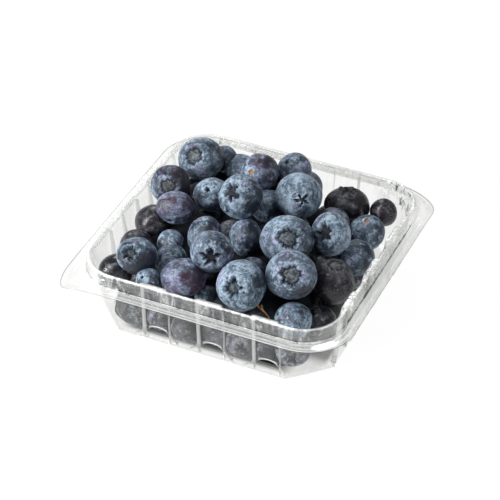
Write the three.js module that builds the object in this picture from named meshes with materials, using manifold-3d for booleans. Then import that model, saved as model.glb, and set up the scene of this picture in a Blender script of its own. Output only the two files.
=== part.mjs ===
// A square punnet of blueberries: a clear thermoformed tray, open at the top, with a stepped rim,
// a flat flange with two finger tabs and fluted, vented walls, and the heap of berries that fills it.
// Millimetres, +Z up. The origin is the middle of the base, on the surface that the tray stands on;
// -Y is the front wall and +X the right wall.
import * as THREE from 'three';
import { ParametricGeometry } from 'three/addons/geometries/ParametricGeometry.js';
import { mergeVertices } from 'three/addons/utils/BufferGeometryUtils.js';
import Module from 'manifold-3d';

const manifold = await Module();
manifold.setup();

// ---- tray -------------------------------------------------------------------------------------
const TRAY_HEIGHT = 28.7; // base to the top of the rim
const SHEET = 0.6; // thickness of the plastic
const BASE_HALF = 50; // half width over the walls at the base
const TOP_HALF = 52.1; // half width over the walls right under the rim
const BASE_CORNER = 14.5; // leg of the chamfered corner at the base
const TOP_CORNER = 15; // radius of the round corner at the top of the wall
const BASE_EDGE = 1.2; // height of the rounded edge between floor and wall
const RIM_HALF = 54; // half width over the raised rim
const RIM_CORNER = 17; // corner radius of the raised rim
const RIM_ROUNDING = 0.6; // rounding of the rim's top edge
const GROOVE_Z = 26.2; // middle of the lid groove round the rim
const GROOVE_DEPTH = 0.4;
const FLANGE_HALF = 59; // half width over the flange
const FLANGE_Z = 23.6; // top face of the flange
const FLANGE_CORNER = 20; // corner radius of the flange, where it has no tab
const FLANGE_LIP = 0.35; // how far the flange's edge is turned down
const TAB_SQUARENESS = 0.3; // exponent that makes a tab's corner nearly square
const TAB_DROOP = 2.5; // how far a tab's tip hangs below the flange

const FLUTE_PITCH = 23.3; // one recess and one panel
const FLUTE_COUNT = 3; // recesses on each wall
const FLUTE_START = -25; // where the first recess of the front wall starts
const RECESS_WIDTH = 11.5;
const RECESS_STEP = 1; // width of the slanted side of a recess
const RECESS_DEPTH = 2.2; // over most of the wall
const RECESS_DEPTH_AT_RIM = 1.1;
const RECESS_TAPER_Z = 20; // from here up the recesses get shallower

const VENT_WIDTH = 8.6;
const VENT_BOTTOM = 2.4;
const VENT_TOP = 5.4;

const CORNER_STEPS = 6;
const STEPS_ROUND = 4 * (4 * FLUTE_COUNT + CORNER_STEPS + 1);
const WALL_HEIGHTS = [BASE_EDGE, 10, RECESS_TAPER_Z]; // where the walls have an edge loop

// ---- berries ----------------------------------------------------------------------------------
const FIT_GAP = 0.55; // clearance between the berries and the tray
const LARGE_RADIUS = 8.75; // from here up a berry that shows from above gets the finer facets
const LARGE_FACETS = 2;
const SMALL_FACETS = 1;
const ROUND_GAIN = [1, 1.05, 1.025]; // makes a faceted berry about as large as the round one
const SEED = 11;
const CONTACT = 0.95; // share of two radii at which berries count as touching

// x, y, z and radius of each berry that shows from above
const TOP_BERRIES = [
  // along the back
  [-37.5, 30.5, 31, 9.4], [-31, 40, 27, 5.8], [-23.5, 41.5, 22, 8.3], [-7, 21, 39.5, 7.6],
  [-6, 28.5, 30.5, 5], [2.5, 34.5, 35, 7], [4, 41, 22, 8], [26.5, 33, 25, 9], [41, 36.5, 24, 5.7],
  // behind the middle
  [-42.5, 10.5, 29.5, 8.2], [-21.5, 7, 33, 7.2], [-6.5, 1, 40.5, 8.8], [-1, 15, 28.5, 6.8],
  [12, 16.5, 36.5, 9.3], [27, 16.5, 27, 7.1], [31.5, 2.5, 33, 8.4], [40, 21.5, 24, 7.2],
  [41, 7.5, 21, 7.5],
  // across the middle
  [-40.5, -7.5, 22.5, 7.8], [-30.8, -7.7, 33.5, 7.4], [-29, -16, 22, 5.6], [-16, -12, 27, 7.8],
  [-0.5, -7, 27.5, 7.3], [18, -9.5, 34, 10.1], [40.5, -15.5, 25, 8.7],
  // along the front
  [-43, -38.5, 19.3, 7], [-33, -38, 29.5, 7.8], [-25, -45, 24, 5.1], [-23, -28, 23.5, 6.7],
  [-13, -38, 25.5, 8.3], [-4.5, -30.5, 35.5, 8.3], [-4.5, -35, 16, 5.4], [9.5, -23, 25, 5.8],
  [11.5, -38.5, 30, 9.7], [27.5, -27.5, 32.5, 9.7], [32.5, -36.5, 18.5, 7.5], [39, -26, 12.5, 7.1],
];

// x, y, z (0 for on the floor) and radius of the berries behind the front wall and deep in the heap
const LOWER_BERRIES = [
  [-35, -45, 0, 6.6], [-22.5, -45, 0, 5.8], [-10, -45, 0, 5.2], [1.5, -45, 0, 6], [13.5, -45, 0, 6],
  [23.5, -45, 0, 4.8], [34.5, -41, 0, 7], [20, -31, 0, 6.5], [-32, -36, 16.5, 6], [36, 33, 14, 6.5],
  [-22, 5, 20, 6.5],
];

// rows that a rule lays: wall, height (0 for on the floor), distance from the wall, radii
const ROWS = [
  { wall: 2, z: 0, off: 0, radii: [6.9, 8.5] },
  { wall: 3, z: 0, off: 0, radii: [6.9, 8.5] },
  { wall: 1, z: 0, off: 6, radii: [6, 7] },
  { wall: 0, z: 17.5, off: 0, radii: [5, 6.2] },
  { wall: 2, z: 20.5, off: 0, radii: [6.4, 8] },
  { wall: 3, z: 20.5, off: 0, radii: [6.4, 8] },
];
const ROW_REACH = 42; // a row runs this far each way from the middle of a wall
const ROW_MARCH = 0.5; // step along the wall when a row is laid
const FILL = { z: 21, radii: [6, 7.5], reach: 36, march: 2 }; // layer that closes the gaps in the heap

// half width, height and corner size of the core that the berries are heaped on
const CORE_RINGS = [
  [0, 3, 0], [39, 3, 10], [40, 9, 10], [38, 17, 12], [32, 21.5, 12], [0, 25, 0],
];

const PLASTIC = { color: 0xe9eeee, roughness: 0.06, metalness: 0, transparent: true, opacity: 0.35 };
const BERRY_SKIN = { color: 0x3b4560, roughness: 0.62, metalness: 0 };

// ---- solids -----------------------------------------------------------------------------------
function closedSolid(geometry) {
  geometry.deleteAttribute('normal');
  geometry.deleteAttribute('uv');
  const merged = mergeVertices(geometry, 1e-5);
  const index = merged.index.array;
  const triVerts = [];
  for (let i = 0; i < index.length; i += 3) {
    const [a, b, c] = [index[i], index[i + 1], index[i + 2]];
    if (a !== b && b !== c && c !== a) triVerts.push(a, b, c);
  }
  return new manifold.Manifold(new manifold.Mesh({
    numProp: 3,
    vertProperties: new Float32Array(merged.attributes.position.array),
    triVerts: new Uint32Array(triVerts),
  }));
}

function geometryOf(solid) {
  const mesh = solid.getMesh();
  const geometry = new THREE.BufferGeometry();
  geometry.setAttribute('position', new THREE.BufferAttribute(mesh.vertProperties, 3));
  geometry.setIndex(new THREE.BufferAttribute(mesh.triVerts, 1));
  geometry.computeVertexNormals();
  return geometry;
}

// The largest body of a solid: scraps fall away and sealed hollows are filled.
function mainBody(solid) {
  const bodies = solid.decompose();
  return bodies.reduce((best, body) => (body.volume() > best.volume() ? body : best));
}

// Skins a closed row of rings; each ring is a function from the step round it to a point.
function loft(rings, stepsRound) {
  const point = (u, v, target) => {
    const ring = rings[Math.round(v * (rings.length - 1))];
    target.copy(ring(Math.round(u * stepsRound) % stepsRound));
  };
  return closedSolid(new ParametricGeometry(point, stepsRound, rings.length - 1));
}

// ---- outline of the tray ----------------------------------------------------------------------
// A wall's own frame: s runs along the wall, anticlockwise seen from above, and out points outwards.
// Wall 0 is the front; wall 1 the right, 2 the back and 3 the left.
function wallPoint(wall, s, out, z) {
  const turn = (wall * Math.PI) / 2;
  const x = s * Math.cos(turn) + out * Math.sin(turn);
  const y = s * Math.sin(turn) - out * Math.cos(turn);
  return new THREE.Vector3(x, y, z);
}

// The recesses lie nearer the two corners that have no tab, so every second wall is mirrored.
const fluteSide = (wall) => (wall % 2 === 0 ? 1 : -1);

function recessStarts(wall) {
  const starts = [];
  for (let i = 0; i < FLUTE_COUNT; i++) {
    const start = FLUTE_START + i * FLUTE_PITCH;
    starts.push(fluteSide(wall) > 0 ? start : -(start + RECESS_WIDTH));
  }
  return starts.sort((a, b) => a - b);
}

// The stations of one wall: where along it the outline has a point, and whether it is in a recess.
function wallStations(wall) {
  return recessStarts(wall).flatMap((start) => [
    [start, 0],
    [start + RECESS_STEP, 1],
    [start + RECESS_WIDTH - RECESS_STEP, 1],
    [start + RECESS_WIDTH, 0],
  ]);
}

function cornerOffset(level, tab, turn) {
  const square = level.tab && tab ? TAB_SQUARENESS : 1;
  const round = [Math.sin(turn) ** square, Math.cos(turn) ** square];
  const chamfer = [turn / (Math.PI / 2), 1 - turn / (Math.PI / 2)];
  return round.map((r, i) => level.bulge * r + (1 - level.bulge) * chamfer[i]);
}

// One level of the tray: half width, height, corner leg, roundness of the corner and recess depth.
function trayRing(level) {
  const { half, z, corner } = level;
  const points = [];
  for (let wall = 0; wall < 4; wall++) {
    for (const [s, inRecess] of wallStations(wall)) {
      const reach = Math.min(1, half / BASE_HALF);
      points.push(wallPoint(wall, s * reach, half - inRecess * level.recess, z));
    }
    const tab = wall % 2 === 1;
    for (let i = 0; i <= CORNER_STEPS; i++) {
      const turn = (i / CORNER_STEPS) * (Math.PI / 2);
      const [along, out] = cornerOffset(level, tab, turn);
      const droop = level.tab && tab ? TAB_DROOP * Math.sin(2 * turn) : 0;
      points.push(wallPoint(wall, half - corner * (1 - along), half - corner * (1 - out), z - droop));
    }
  }
  return (step) => points[step];
}

const pole = (z) => ({ half: 0, z, corner: 0, bulge: 0, recess: 0 });
const rimLevel = (half, z) => ({ half, z, corner: RIM_CORNER - RIM_HALF + half, bulge: 1, recess: 0 });
const flangeLevel = (half, z) => {
  const corner = FLANGE_CORNER - FLANGE_HALF + half;
  return { half, z, corner, bulge: 1, recess: 0, tab: true };
};

function recessDepth(z) {
  const t = THREE.MathUtils.clamp((z - RECESS_TAPER_Z) / (TRAY_HEIGHT - RECESS_TAPER_Z), 0, 1);
  return THREE.MathUtils.lerp(RECESS_DEPTH, RECESS_DEPTH_AT_RIM, t);
}

// The wall between base and rim; inset is 0 on the outside and the sheet's thickness on the inside.
function wallLevel(z, inset, pull = 0) {
  const t = z / TRAY_HEIGHT;
  return {
    half: THREE.MathUtils.lerp(BASE_HALF, TOP_HALF, t) - inset - pull,
    z,
    corner: THREE.MathUtils.lerp(BASE_CORNER, TOP_CORNER, t),
    bulge: t ** 0.8,
    recess: recessDepth(z),
  };
}

// The rounded edge between wall and floor, from the floor (0) to the wall (1).
function baseEdge(t, inset) {
  const turn = (t * Math.PI) / 2;
  const rise = (BASE_EDGE - inset) * (1 - Math.cos(turn));
  return wallLevel(inset + rise, inset, (BASE_EDGE - inset) * (1 - Math.sin(turn)));
}

function collarLevels(inset) {
  const outer = RIM_HALF - inset;
  return [
    rimLevel(outer, FLANGE_Z + 0.5 - inset),
    rimLevel(outer, GROOVE_Z - 0.7),
    rimLevel(outer - GROOVE_DEPTH, GROOVE_Z - 0.3),
    rimLevel(outer - GROOVE_DEPTH, GROOVE_Z + 0.3),
    rimLevel(outer, GROOVE_Z + 0.7),
    rimLevel(outer, TRAY_HEIGHT - RIM_ROUNDING - inset * 0.5),
    rimLevel(outer - RIM_ROUNDING, TRAY_HEIGHT - inset),
  ];
}

// All levels of the tray's skin, from the middle of the base over the rim to the middle of the floor.
function trayLevels() {
  const outside = [0, 0.5].map((t) => baseEdge(t, 0))
    .concat(WALL_HEIGHTS.map((z) => wallLevel(z, 0)), wallLevel(TRAY_HEIGHT - SHEET, 0));
  const underCollar = collarLevels(SHEET);
  const underRim = [underCollar.at(-1), underCollar.at(-2), underCollar[0]];
  const flange = [
    flangeLevel(RIM_HALF + 0.2, FLANGE_Z - SHEET),
    flangeLevel(FLANGE_HALF - SHEET, FLANGE_Z - SHEET),
    flangeLevel(FLANGE_HALF - SHEET, FLANGE_Z - SHEET - FLANGE_LIP),
    flangeLevel(FLANGE_HALF, FLANGE_Z - SHEET - FLANGE_LIP),
    flangeLevel(FLANGE_HALF, FLANGE_Z - 0.3),
    flangeLevel(FLANGE_HALF - 0.3, FLANGE_Z),
    flangeLevel(RIM_HALF + 0.6, FLANGE_Z),
  ];
  const inside = [wallLevel(TRAY_HEIGHT, SHEET - 0.4), wallLevel(TRAY_HEIGHT - 0.4, SHEET)]
    .concat(WALL_HEIGHTS.toReversed().map((z) => wallLevel(z, SHEET)))
    .concat([0.5, 0].map((t) => baseEdge(t, SHEET)));
  return [pole(0), ...outside, ...underRim, ...flange, ...collarLevels(0), ...inside, pole(SHEET)];
}

// A slot at the foot of every recess.
function ventCutters() {
  const cutters = [];
  for (let wall = 0; wall < 4; wall++) {
    for (const start of recessStarts(wall)) {
      const box = new THREE.BoxGeometry(VENT_WIDTH, RECESS_DEPTH * 3, VENT_TOP - VENT_BOTTOM);
      const middle = start + RECESS_WIDTH / 2;
      const place = wallPoint(wall, middle, BASE_HALF - RECESS_DEPTH, (VENT_TOP + VENT_BOTTOM) / 2);
      box.rotateZ((wall * Math.PI) / 2).translate(place.x, place.y, place.z);
      cutters.push(closedSolid(box));
    }
  }
  return cutters;
}

function trayGeometry() {
  let tray = loft(trayLevels().map(trayRing), STEPS_ROUND);
  for (const cutter of ventCutters()) tray = tray.subtract(cutter);
  return geometryOf(tray);
}

// ---- heap of berries --------------------------------------------------------------------------
// Park and Miller's generator, so that a row is laid the same way every time.
function randomFrom(seed) {
  let state = seed;
  return () => {
    state = (state * 16807) % 2147483647;
    return state / 2147483647;
  };
}

// Moves a berry in from the walls and corners that it would touch.
function keepInside([x, y, z, radius]) {
  const place = new THREE.Vector3(x, y, 0);
  const outline = trayRing({ ...wallLevel(Math.min(z, TRAY_HEIGHT), SHEET), z: 0 });
  const nearest = new THREE.Vector3();
  for (let step = 0; step < STEPS_ROUND; step++) {
    const side = new THREE.Line3(outline(step), outline((step + 1) % STEPS_ROUND));
    side.closestPointToPoint(place, true, nearest);
    const push = Math.max(0, radius + FIT_GAP - nearest.distanceTo(place));
    place.addScaledVector(nearest.sub(place).normalize(), -push);
  }
  return [place.x, place.y, z, radius];
}

function isClear(berry, others) {
  const centre = new THREE.Vector3(...berry);
  return others.every((other) => {
    return centre.distanceTo(new THREE.Vector3(...other)) > (berry[3] + other[3]) * CONTACT;
  });
}

const onFloor = (radius) => SHEET + FIT_GAP + radius;

// Lays a row of berries along a wall, skipping each place that another berry fills.
function layRow({ wall, z, off, radii }, berries, random) {
  let radius = THREE.MathUtils.lerp(...radii, random());
  for (let s = -ROW_REACH; s < ROW_REACH; s += ROW_MARCH) {
    const place = wallPoint(wall, s, BASE_HALF - radius - off, z || onFloor(radius));
    const berry = keepInside([place.x, place.y, place.z, radius]);
    if (isClear(berry, berries)) {
      berries.push(berry);
      radius = THREE.MathUtils.lerp(...radii, random());
    }
  }
}

// Lays a layer of berries wherever one fits between the others.
function layFill({ z, radii, reach, march }, berries, random) {
  let radius = THREE.MathUtils.lerp(...radii, random());
  for (let x = -reach; x <= reach; x += march) {
    for (let y = -reach; y <= reach; y += march) {
      const berry = keepInside([x, y, z, radius]);
      if (isClear(berry, berries)) {
        berries.push(berry);
        radius = THREE.MathUtils.lerp(...radii, random());
      }
    }
  }
}

// Every berry of the heap: first the ones that show from above, then the lower ones.
function heapBerries() {
  const random = randomFrom(SEED);
  const lower = LOWER_BERRIES.map(([x, y, z, radius]) => [x, y, z || onFloor(radius), radius]);
  const berries = [...TOP_BERRIES, ...lower].map(keepInside);
  for (const row of ROWS) layRow(row, berries, random);
  layFill(FILL, berries, random);
  return berries;
}

function berrySolid([x, y, z, radius], facets) {
  const ball = new THREE.IcosahedronGeometry(radius * ROUND_GAIN[facets], facets);
  return closedSolid(ball.rotateX(x).rotateZ(y).translate(x, y, z));
}

function coreSolid() {
  const ring = ([half, z, corner]) => {
    const points = [];
    for (let wall = 0; wall < 4; wall++) {
      for (let i = 0; i <= 4; i++) {
        const turn = (i / 4) * (Math.PI / 2);
        const along = half - corner * (1 - Math.sin(turn));
        points.push(wallPoint(wall, along, half - corner * (1 - Math.cos(turn)), z));
      }
    }
    return (step) => points[step];
  };
  return loft(CORE_RINGS.map(ring), 20);
}

function heapGeometry() {
  const berries = heapBerries().map((berry, i) => {
    const large = i < TOP_BERRIES.length && berry[3] >= LARGE_RADIUS;
    return berrySolid(berry, large ? LARGE_FACETS : SMALL_FACETS);
  });
  return geometryOf(mainBody(berries.reduce((heap, berry) => heap.add(berry), coreSolid())));
}

// ---- the punnet -------------------------------------------------------------------------------
function part(name, geometry, finish) {
  const mesh = new THREE.Mesh(geometry, new THREE.MeshStandardMaterial(finish));
  mesh.name = name;
  return mesh;
}

const punnet = new THREE.Group();
punnet.add(part('tray', trayGeometry(), PLASTIC));
punnet.add(part('blueberries', heapGeometry(), BERRY_SKIN));

export default punnet;
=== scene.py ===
"""A clear square punnet heaped with blueberries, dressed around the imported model."""
import math

import bmesh
import bpy
from mathutils import Matrix, Vector, noise


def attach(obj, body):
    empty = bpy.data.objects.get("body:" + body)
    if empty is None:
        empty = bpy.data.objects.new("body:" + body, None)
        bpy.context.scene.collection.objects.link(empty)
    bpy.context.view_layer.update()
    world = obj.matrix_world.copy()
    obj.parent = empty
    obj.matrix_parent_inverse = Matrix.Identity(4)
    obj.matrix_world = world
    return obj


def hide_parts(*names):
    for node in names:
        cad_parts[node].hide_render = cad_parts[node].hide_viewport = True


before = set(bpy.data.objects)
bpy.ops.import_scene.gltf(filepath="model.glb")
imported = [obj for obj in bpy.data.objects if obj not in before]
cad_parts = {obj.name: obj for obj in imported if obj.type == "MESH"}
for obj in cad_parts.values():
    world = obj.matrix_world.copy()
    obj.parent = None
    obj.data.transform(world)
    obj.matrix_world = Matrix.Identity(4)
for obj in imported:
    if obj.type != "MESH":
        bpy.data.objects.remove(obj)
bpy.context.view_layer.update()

MM = 0.001

# ---- camera -----------------------------------------------------------------------------------
CAMERA_AT = Vector((276.32, -645.12, 546.23)) * MM
CAMERA_AZIMUTH = math.radians(23.31)
CAMERA_ELEVATION = math.radians(37.025)
CAMERA_ROLL = math.radians(0.994)
CAMERA_LENS = 158.4
CAMERA_REACH = (0.05, 20)  # nearest and farthest distance that it shows, in metres

# ---- tray, in millimetres ---------------------------------------------------------------------
TRAY_HEIGHT = 28.7
SHEET = 0.6
SHELL = 0.45  # thickness of the sheet as it is drawn
BASE_HALF = 50
TOP_HALF = 52.1
BASE_CORNER = 14.5
TOP_CORNER = 15
BASE_EDGE = 1.2
RIM_HALF = 54
RIM_CORNER = 17
FLANGE_HALF = 59
FLANGE_CORNER = 20
TAB_SQUARENESS = {1: 0.6, 3: 0.3}  # exponent that makes the corner after a wall nearly square
TAB_DROOP = 2.5
TAB_DROOP_RISE = 1.3  # how fast the droop grows across the flange
CORNER_SWELL = 0.8  # exponent by which the chamfered corners of the base turn round upwards
FLUTE_PITCH = 23.3
FLUTE_COUNT = 3
FLUTE_START = -25
RECESS_WIDTH = 11.5
RECESS_DEPTH = 2.2
RECESS_DEPTH_AT_RIM = 1.1
RECESS_TAPER_Z = 20
RECESS_STEP = 1.0
SOLID_CORNER_STEPS = 6
PANEL_FOOT_Z = 1.6  # where a panel ends above the base
PANEL_FOOT_RADIUS = 3.5
PANEL_FOOT_SOFTNESS = 0.3
VENT_HALF = 4.3
VENT_BOTTOM = 2.2
VENT_TOP = 5.8
VENT_OVERLAP = 1.02  # how far the arch over a vent reaches, in half widths of the vent
ARCH_DROP = 2.2
ARCH_FOOT_Z = 3.8

# ---- berries, in millimetres ------------------------------------------------------------------
FIT_GAP = 0.55  # between a berry and the sheet
CONTACT = 0.95  # how near two berries of a row come, as a share of their two radii
SEED = 11

# x, y, z (0 on the floor), radius; bloom, plum; crown and where it is seen: right and up, in radii
TOP_BERRIES = [
    # along the back
    (-37.5, 30.5, 31, 9.4, 0.7, 0.05, "ring", -0.30, 0.13),
    (-31, 40, 27, 5.8, 0.6, 0.1, "none", 0, 0),
    (-23.5, 41.5, 22, 8.3, 0.85, 0.1, "none", 0, 0),
    (-7, 21, 39.5, 7.6, 0.4, 0.35, "scar", -0.48, -0.03),
    (-6, 28.5, 30.5, 5, 0.1, 0, "none", 0, 0),
    (2.5, 34.5, 35, 7, 0.6, 0.25, "pit", -0.51, 0.44),
    (4, 41, 22, 8, 0.6, 0, "none", 0, 0),
    (26.5, 33, 25, 9, 0.15, 0.1, "open", 0.05, 0.86),
    (41, 36.5, 24, 5.7, 0.25, 0.4, "none", 0, 0),
    # behind the middle
    (-42.5, 10.5, 29.5, 8.2, 0.34, 0.35, "faint", -0.1, -0.15),
    (-21.5, 7, 33, 7.2, 0.75, 0.05, "pit", -0.25, 0.3),
    (-6.5, 1, 40.5, 8.8, 1.0, 0, "burst", -0.48, 0.2),
    (-1, 15, 28.5, 6.8, 0.9, 0.05, "none", 0, 0),
    (12, 16.5, 36.5, 9.3, 1.15, 0.05, "slit", 0.14, -0.22),
    (27, 16.5, 27, 7.1, 0.35, 0.5, "none", 0, 0),
    (31.5, 2.5, 33, 8.4, 1.05, 0.1, "burst", -0.42, 0.05),
    (40, 21.5, 24, 7.2, 0.62, 0, "scar", -0.07, 0.67),
    (41, 7.5, 21, 7.5, 0.65, 0, "none", 0, 0),
    # across the middle
    (-40.5, -7.5, 22.5, 7.8, -0.05, 0.2, "none", 0, 0),
    (-30.8, -7.7, 33.5, 7.4, 0.55, 0.75, "pit", -0.28, -0.83),
    (-29, -16, 22, 5.6, 0.4, 0, "none", 0, 0),
    (-16, -12, 27, 7.8, 0.65, 0.15, "none", 0, 0),
    (-0.5, -7, 27.5, 7.3, 0.6, 0.1, "none", 0, 0),
    (18, -9.5, 34, 10.1, 0.92, 0, "crater", 0.05, 0.04),
    (40.5, -15.5, 25, 8.7, 0.1, 0.25, "ring", 0.1, 0.85),
    # along the front
    (-43, -38.5, 19.3, 7, 0.2, 0.05, "none", 0, 0),
    (-33, -38, 29.5, 7.8, 0.3, 0, "open", -0.35, 0.2),
    (-25, -45, 24, 5.1, 0.6, 0, "pit", -0.5, 0.32),
    (-23, -28, 23.5, 6.7, 0.75, 0, "none", 0, 0),
    (-13, -38, 25.5, 8.3, 0.6, 0.8, "none", 0, 0),
    (-4.5, -30.5, 35.5, 8.3, 0.7, 0.2, "burst", -0.03, -0.33),
    (-4.5, -35, 16, 5.4, 0.5, 0, "none", 0, 0),
    (9.5, -23, 25, 5.8, 0.3, 0.5, "none", 0, 0),
    (11.5, -38.5, 30, 9.7, 0.95, 0, "open", -0.39, -0.10),
    (27.5, -27.5, 32.5, 9.7, 0.7, 0.15, "crater", 0.03, 0.02),
    (32.5, -36.5, 18.5, 7.5, 0.95, 0, "pit", -0.85, 0.38),
    (39, -26, 12.5, 7.1, 0.25, 0, "none", 0, 0),
]

LOWER_BERRIES = [
    (-35, -45, 0, 6.6, 0.35, 0, "none", 0, 0),
    (-22.5, -45, 0, 5.8, 0.5, 0.2, "none", 0, 0),
    (-10, -45, 0, 5.2, 0.45, 0.2, "none", 0, 0),
    (1.5, -45, 0, 6, 0.35, 0, "none", 0, 0),
    (13.5, -45, 0, 6, 0.5, 0.7, "star", -0.1, -0.45),
    (23.5, -45, 0, 4.8, 0.3, 0, "none", 0, 0),
    (34.5, -41, 0, 7, 0.55, 0, "star", 0, -0.6),
    (20, -31, 0, 6.5, 0.2, 0, "none", 0, 0),
    (-32, -36, 16.5, 6, 0.2, 0, "none", 0, 0),
    (36, 33, 14, 6.5, 0.2, 0, "none", 0, 0),
    (-22, 5, 20, 6.5, -0.1, 0, "none", 0, 0),
]

# rows of berries along the walls: height (0 on the floor), distance off the wall and radii
ROWS = [
    dict(wall=2, z=0, off=0, radii=(6.9, 8.5)),
    dict(wall=3, z=0, off=0, radii=(6.9, 8.5)),
    dict(wall=1, z=0, off=6, radii=(6, 7)),
    dict(wall=0, z=17.5, off=0, radii=(5, 6.2)),
    dict(wall=2, z=20.5, off=0, radii=(6.4, 8)),
    dict(wall=3, z=20.5, off=0, radii=(6.4, 8)),
]
ROW_REACH = 42
ROW_MARCH = 0.5
FILL = dict(z=21, radii=(6, 7.5), reach=36, march=2)
HIDDEN_BLOOM = (0.05, 0.5)  # range for the berries of the rows
HIDDEN_PLUM = (0, 0.4)

# half width, height, corner size and middle (x, y) of each ring of the heap's inside, a dark
# surface of painted shade
CORE_RINGS = [(40.3, 1.3, 9, -3.2, -4.4), (39.6, 6, 9, -3.2, -4.4), (37.5, 16, 12, -3.2, -3.8),
              (32.5, 20, 9, -5, -1), (17, 24.3, 4, -22.5, 17.5)]
CORE_SIDE_STEPS = 5  # steps along a straight side
CORE_CORNER_STEPS = 7  # steps round a corner, up to the next side
CORE_LUMPS = 0.4  # how uneven its sides are

# berries that aren't round: number in the lists above; width and height as seen, in radii
OVALS = {
    0: (1.02, 0.97), 7: (1.04, 0.92), 10: (1.06, 0.95), 15: (0.99, 1.02), 19: (1.06, 0.95),
    21: (0.93, 1.06), 22: (0.95, 1.05), 23: (1.05, 0.95), 24: (0.92, 1.08), 25: (1.06, 1.0),
    26: (1.04, 0.95), 29: (1.06, 0.94), 30: (1.03, 0.97), 34: (1.02, 0.99), 35: (1.03, 0.97),
    36: (1.03, 0.95), 37: (1.04, 1.04), 38: (1.07, 1.07), 39: (1.1, 1.1), 40: (1.04, 1.04),
    41: (1.06, 1.06),
}

# painted shade, given as bloom taken away on one side, mostly the side away from the key light:
#  number in the lists above; middle of that side, right and up in radii; how strong
PAINTED_SHADE_SIDES = {
    0: (0.9, -0.1, 0.9), 3: (0.7, 0.1, 0.7), 9: (0.8, 0.1, 1.1), 10: (0.6, -0.7, 1.0),
    11: (0.85, -0.1, 1.5), 13: (0.7, -0.6, 0.4), 15: (-0.8, -0.45, 1.5), 19: (0.9, 0.1, 0.9),
    21: (0.85, 0.2, 1.3), 22: (0.5, -0.8, 0.9), 23: (0.95, -0.1, 1.0), 26: (0.5, -0.6, 1.2),
    29: (0.85, -0.1, 1.0), 30: (0.7, -0.6, 0.9), 33: (0.95, 0, 0.9), 34: (0.1, -0.95, 1.1),
    35: (0.9, 0.1, 0.7),
}
PAINTED_SHADE_ELSEWHERE = (0.85, -0.3, 0.5)
PAINTED_SHADE_FROM, PAINTED_SHADE_OVER = 0.35, 0.6  # where the painted shade begins and how soon it is full, in radii
PAINTED_SHADE_RAGGED = 0.3  # how uneven its edge is, in radii
PAINTED_SHADE_MOST = 0.7  # how much bloom a painted shade of 1 takes away

# how round and how smooth the berries are
OBLATE = (0.92, 0.97)  # length from crown to stalk, in widths
UNEVEN = (0.98, 1.02)
LUMPS = 0.05  # in radii
CROWDING = 1.6  # exponent that brings the rings of a ball nearer to its crown
SEED_SPREAD = 9  # how far apart the berries lie in the noise that shapes them
PATTERN_SPREAD = 0.2  # and in their skin's pattern, in metres
SHOWN_MESH = (56, 42)  # segments and rings
LOWER_MESH = (26, 20)
LEAST_BLOOM = 0.28  # berries with less are glossy
LEAST_PLUM = 0.45  # berries with more are reddish all over

# both ends and the radius of each scrap of stalk
STALK_SCRAPS = [
    ((20.9, -41.5, 25.4), (24.8, -42, 20.9), 0.5),
    ((16.4, -41.5, 21.2), (21.8, -42, 20.2), 0.5),
    ((18.8, -40.5, 25.0), (22.3, -41, 21.8), 0.45),
    ((17.0, -42.5, 20.0), (24.0, -43, 19.3), 0.5),
]
STALK_TAPER = 0.6  # radius at the far end, as a share of the first
STALK_SIDES = 12
STALK_CUTS = 9

# kinds of crown, in radii: size of the opening, depth, height of the sepals, how far the opening
# is a star, how much of its floor is pale, and the size of the knob in the middle
CROWNS = {
    "star": (0.34, 0.22, 0.08, 0.8, 0.0, 0.0),
    "burst": (0.42, 0.24, 0.11, 0.62, 0.12, 0.0),
    "slit": (0.27, 0.12, 0.05, 1.0, 0.3, 0.0),
    "open": (0.38, 0.25, 0.10, 0.35, 0.5, 0.03),
    "ring": (0.42, 0.10, 0.05, 0.05, 0.9, 0.0),
    "crater": (0.42, 0.13, 0.05, 0.12, 0.8, 0.03),
    "faint": (0.40, 0.03, 0.02, 0.0, 0.9, 0.0),
    "pit": (0.15, 0.16, 0.03, 0.2, 0.0, 0.0),
    "scar": (0.12, 0.06, 0.03, 0.0, 0.0, 0.02),
}

# ---- colours, linear --------------------------------------------------------------------------
CLEAR_TINT = (0.988, 0.989, 0.986)
EDGE_ON_TINT = (0.76, 0.77, 0.75)
# painted shade that tints the sheet along dark lines and streaks
PAINTED_SHADE_TINT = (0.34, 0.35, 0.34)
MILKY = (0.93, 0.94, 0.93)

SKINS = {
    "waxy_skin": dict(
        skin=(0.009, 0.013, 0.025), plum_skin=(0.040, 0.009, 0.024), bloom=(0.092, 0.142, 0.194),
        pale_bloom=(0.33, 0.43, 0.53), plum_bloom=(0.155, 0.145, 0.25),
        bare_roughness=0.38, unevenness=1.1),
    "glossy_skin": dict(
        skin=(0.009, 0.009, 0.013), plum_skin=(0.026, 0.012, 0.016), bloom=(0.045, 0.052, 0.066),
        pale_bloom=(0.12, 0.125, 0.14), plum_bloom=(0.07, 0.052, 0.062),
        bare_roughness=0.24, unevenness=0.1),
    # darker copy of the waxy skin for the lower berries: painted shade
    "painted_shade_skin": dict(
        skin=(0.010, 0.012, 0.016), plum_skin=(0.030, 0.012, 0.020), bloom=(0.070, 0.083, 0.092),
        pale_bloom=(0.38, 0.42, 0.45), plum_bloom=(0.15, 0.14, 0.19),
        bare_roughness=0.38, unevenness=1.1),
}
VIOLET_BLOOM = (0.37, 0.38, 0.55)
CROWN_FLOOR = ((0.032, 0.039, 0.042), (0.15, 0.18, 0.19))
# the crown's near-black groove: partly the dark calyx, partly painted shade in the crater
CROWN_GROOVE_AND_SHADE = (0.004, 0.004, 0.006)
STEM_SCAR = (0.40, 0.17, 0.04)
DRY_STALK = ((0.063, 0.033, 0.0135), (0.42, 0.22, 0.09))
# painted shade of the heap's depth, and painted light in the middle of its rounds
DEEP_SHADE = ((0.010, 0.011, 0.015), (0.115, 0.130, 0.155))

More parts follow.
